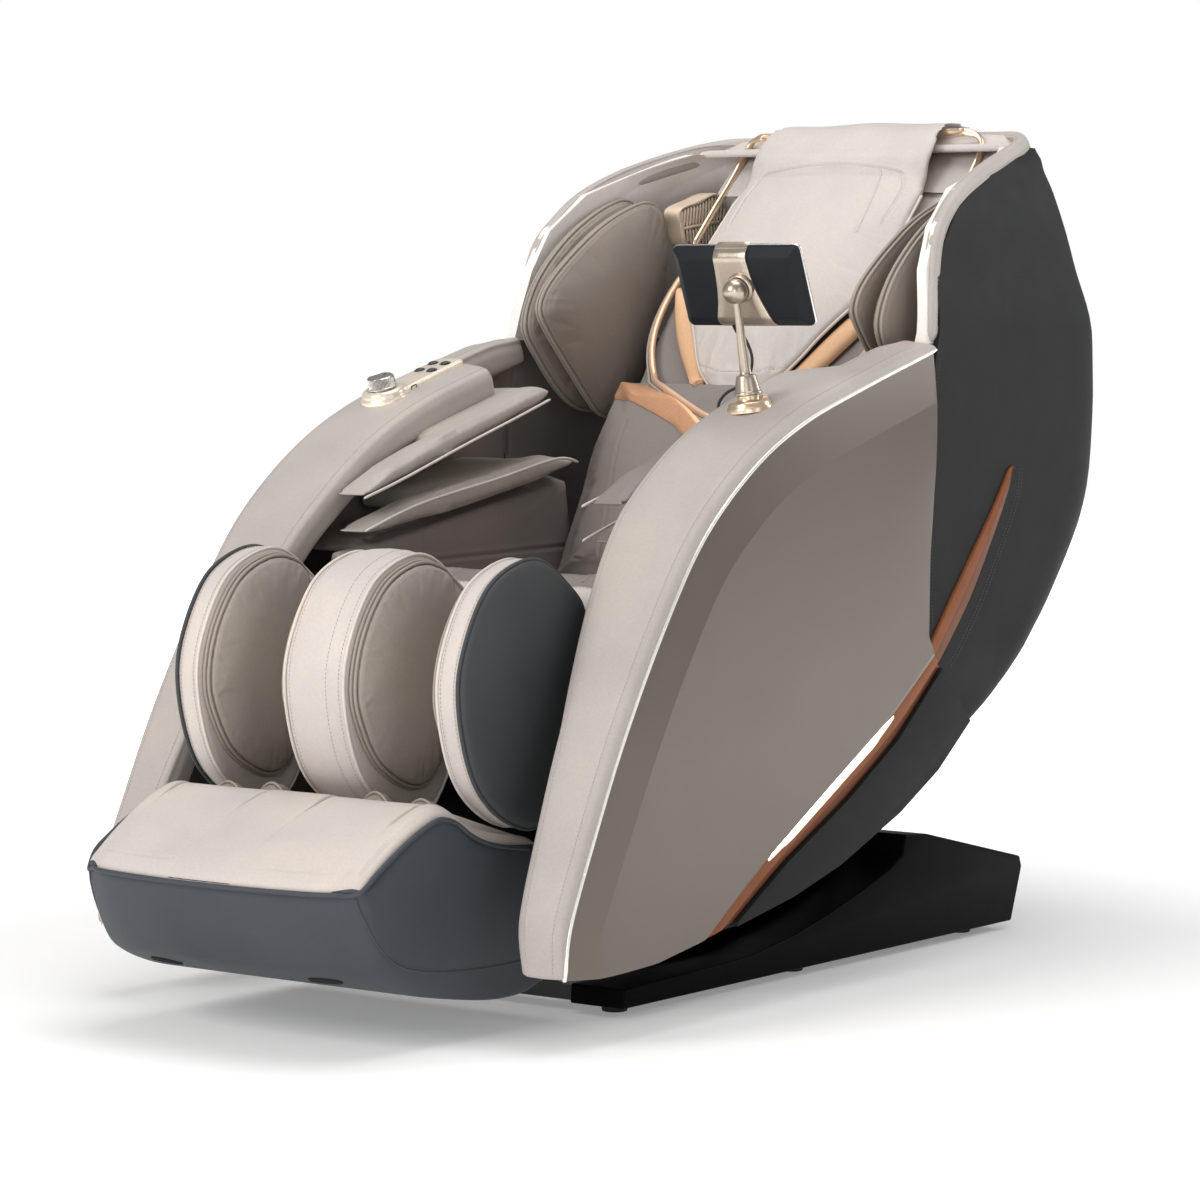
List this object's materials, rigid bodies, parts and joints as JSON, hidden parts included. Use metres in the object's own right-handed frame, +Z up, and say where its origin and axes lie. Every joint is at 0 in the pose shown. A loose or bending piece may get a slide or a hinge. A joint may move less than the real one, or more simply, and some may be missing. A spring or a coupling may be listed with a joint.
{
  "type": "massage chair",
  "caption": "Reclining full-body massage chair with padded arms, calf channels, foot wells, hooded head end, dial control and a swivel tablet on a low floor base.",
  "frame": {"origin": "centre of the chair's overall box, on the floor", "axes": "+Z up; the chair faces -Y; +X is the sitter's left, where the tablet stands"},
  "size_m": [0.792, 1.651, 1.193],
  "materials": {
    "upholstery_beige": "satin",
    "upholstery_taupe": "satin",
    "panel_champagne": "satin",
    "shell_charcoal": "matte",
    "foot_charcoal": "satin",
    "base_black": "gloss",
    "frame_steel": "satin",
    "zinc_steel": "satin",
    "rubber_black": "matte",
    "copper_trim": "satin",
    "gold_trim": "satin",
    "silver_trim": "gloss",
    "led_white": "matte",
    "plastic_black": "matte",
    "button_black": "gloss",
    "tablet_black": "satin",
    "screen_glass": "gloss",
    "cable_rubber": "matte",
    "roller_cream": "satin"
  },
  "bodies": {
    "base": {"base_cover": "base_black", "base_frame": "frame_steel", "slide_rails": "zinc_steel", "base_feet": "rubber_black", "power_inlet": "plastic_black"},
    "power_switch": {"power_switch": "button_black"},
    "carriage": {"carriage_frame": "frame_steel", "tilt_actuator": "plastic_black"},
    "seat": {"seat_frame": "frame_steel", "seat_cushion": "upholstery_beige", "side_panel_left": "panel_champagne", "side_panel_right": "panel_champagne", "armrest_left": "upholstery_beige", "armrest_right": "upholstery_beige", "trim_strips": "silver_trim", "light_strips": "copper_trim", "led_bars": "led_white", "lower_shell": "shell_charcoal", "inner_wall_left": "upholstery_taupe", "inner_wall_right": "upholstery_taupe", "arm_airbags_left": "upholstery_taupe", "arm_airbags_right": "upholstery_taupe", "controller_pod": "gold_trim", "tablet_flange": "gold_trim", "electronics_box": "plastic_black", "recline_actuator": "plastic_black"},
    "control_dial": {"control_dial": "silver_trim"},
    "button_1": {"button_1": "button_black"},
    "button_2": {"button_2": "button_black"},
    "button_3": {"button_3": "button_black"},
    "button_4": {"button_4": "button_black"},
    "tablet_mast": {"tablet_mast": "gold_trim", "tablet_cable": "cable_rubber"},
    "tablet": {"tablet_housing": "tablet_black", "tablet_clamp": "gold_trim", "tablet_screen": "screen_glass"},
    "backrest": {"back_frame": "frame_steel", "rear_shell": "shell_charcoal", "hood": "upholstery_beige", "back_cushion": "upholstery_beige", "head_pillow": "upholstery_beige", "shoulder_airbags_left": "upholstery_taupe", "shoulder_airbags_right": "upholstery_taupe", "speakers": "gold_trim", "head_trim": "gold_trim", "back_band": "copper_trim", "shell_light_strips": "copper_trim"},
    "massage_carriage": {"massage_carriage": "plastic_black"},
    "massage_rollers": {"massage_rollers": "roller_cream"},
    "legrest": {"legrest_frame": "frame_steel", "calf_wall_left": "foot_charcoal", "calf_wall_right": "foot_charcoal", "calf_divider": "upholstery_beige", "calf_pads": "upholstery_taupe"},
    "footrest": {"footrest_shell": "foot_charcoal", "footrest_cover": "upholstery_beige", "foot_pads": "upholstery_taupe", "foot_vents": "plastic_black"},
    "foot_rollers": {"foot_rollers": "roller_cream"}
  },
  "joints": [
    {"name": "power_switch_rock", "type": "hinge", "parent": "base", "child": "power_switch", "pos_m": [0.162, 0.628, 0.057], "axis": [1, 0, 0], "range_deg": [0, 16]},
    {"name": "carriage_slide", "type": "slide", "parent": "base", "child": "carriage", "axis": [0, -1, 0], "range_m": [0, 0.12]},
    {"name": "zero_gravity_tilt", "type": "hinge", "parent": "carriage", "child": "seat", "pos_m": [0, 0.35, 0.15], "axis": [-1, 0, 0], "range_deg": [0, 15]},
    {"name": "recline", "type": "hinge", "parent": "seat", "child": "backrest", "pos_m": [0, 0.235, 0.42], "axis": [-1, 0, 0], "range_deg": [0, 30]},
    {"name": "legrest_lift", "type": "hinge", "parent": "seat", "child": "legrest", "pos_m": [0, -0.32, 0.545], "axis": [-1, 0, 0], "range_deg": [0, 65]},
    {"name": "footrest_slide", "type": "slide", "parent": "legrest", "child": "footrest", "axis": [0, -0.3746, -0.9272], "range_m": [0, 0.1]},
    {"name": "foot_roller_spin", "type": "hinge", "parent": "footrest", "child": "foot_rollers", "pos_m": [0, -0.56, 0.108], "axis": [1, 0, 0], "continuous": true},
    {"name": "massage_carriage_travel", "type": "slide", "parent": "backrest", "child": "massage_carriage", "axis": [0, 0.5736, 0.8192], "range_m": [-0.09, 0.38]},
    {"name": "massage_roller_rock", "type": "hinge", "parent": "massage_carriage", "child": "massage_rollers", "pos_m": [0, 0.39453, 0.68285], "axis": [1, 0, 0], "range_deg": [-18, 18]},
    {"name": "tablet_swivel", "type": "hinge", "parent": "seat", "child": "tablet_mast", "pos_m": [0.31, -0.076, 0.785], "axis": [-0.0831, -0.1023, 0.9913], "range_deg": [-60, 100], "deforming": ["tablet_cable"]},
    {"name": "tablet_tilt", "type": "hinge", "parent": "tablet_mast", "child": "tablet", "pos_m": [0.297, -0.092, 0.94], "axis": [1, 0, 0], "range_deg": [-15, 15], "deforming": ["tablet_cable"]},
    {"name": "dial_turn", "type": "hinge", "parent": "seat", "child": "control_dial", "pos_m": [-0.325, -0.07558, 0.80327], "axis": [0, -0.2924, 0.9563], "continuous": true},
    {"name": "button_1_press", "type": "slide", "parent": "seat", "child": "button_1", "axis": [0, 0.2924, -0.9563], "range_m": [0, 0.002], "stiffness_N_per_m": 900, "springref_m": -0.0005},
    {"name": "button_2_press", "type": "slide", "parent": "seat", "child": "button_2", "axis": [0, 0.2924, -0.9563], "range_m": [0, 0.002], "stiffness_N_per_m": 900, "springref_m": -0.0005},
    {"name": "button_3_press", "type": "slide", "parent": "seat", "child": "button_3", "axis": [0, 0.2924, -0.9563], "range_m": [0, 0.002], "stiffness_N_per_m": 900, "springref_m": -0.0005},
    {"name": "button_4_press", "type": "slide", "parent": "seat", "child": "button_4", "axis": [0, 0.2924, -0.9563], "range_m": [0, 0.002], "stiffness_N_per_m": 900, "springref_m": -0.0005}
  ],
  "couplings": [
    {"joint": "recline", "follows": "carriage_slide", "rad_per_m": 4.363},
    {"joint": "footrest_slide", "follows": "legrest_lift", "m_per_rad": 0.088}
  ]
}
